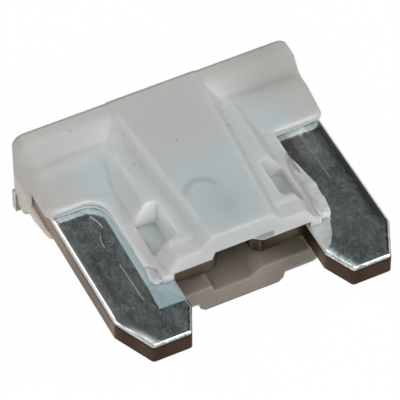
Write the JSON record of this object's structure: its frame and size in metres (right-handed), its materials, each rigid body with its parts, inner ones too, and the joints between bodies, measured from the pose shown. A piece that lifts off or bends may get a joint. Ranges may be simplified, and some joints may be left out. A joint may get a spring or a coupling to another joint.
{
  "type": "low-profile mini blade fuse",
  "caption": "Plug-in low-profile mini blade fuse: flat tin-plated blades joined by a thin arched link in a stepped, milky translucent plastic housing.",
  "frame": {"origin": "under the middle of the fuse's outline, on the flat surface that its rear face lies on", "axes": "+X across the blades, from the left blade to the right one as the front face is seen; +Y from the blade tips to the head; +Z out of the front face, up as the fuse lies"},
  "size_m": [0.0112, 0.0098, 0.0038],
  "materials": {
    "milky_plastic": "semi-gloss, milky translucent moulded plastic",
    "tin_plated_metal": "bright tin plating over zinc alloy, lightly mottled and scratched"
  },
  "bodies": {
    "root": {"housing": "milky_plastic", "fuse_element": "tin_plated_metal"}
  },
  "joints": []
}
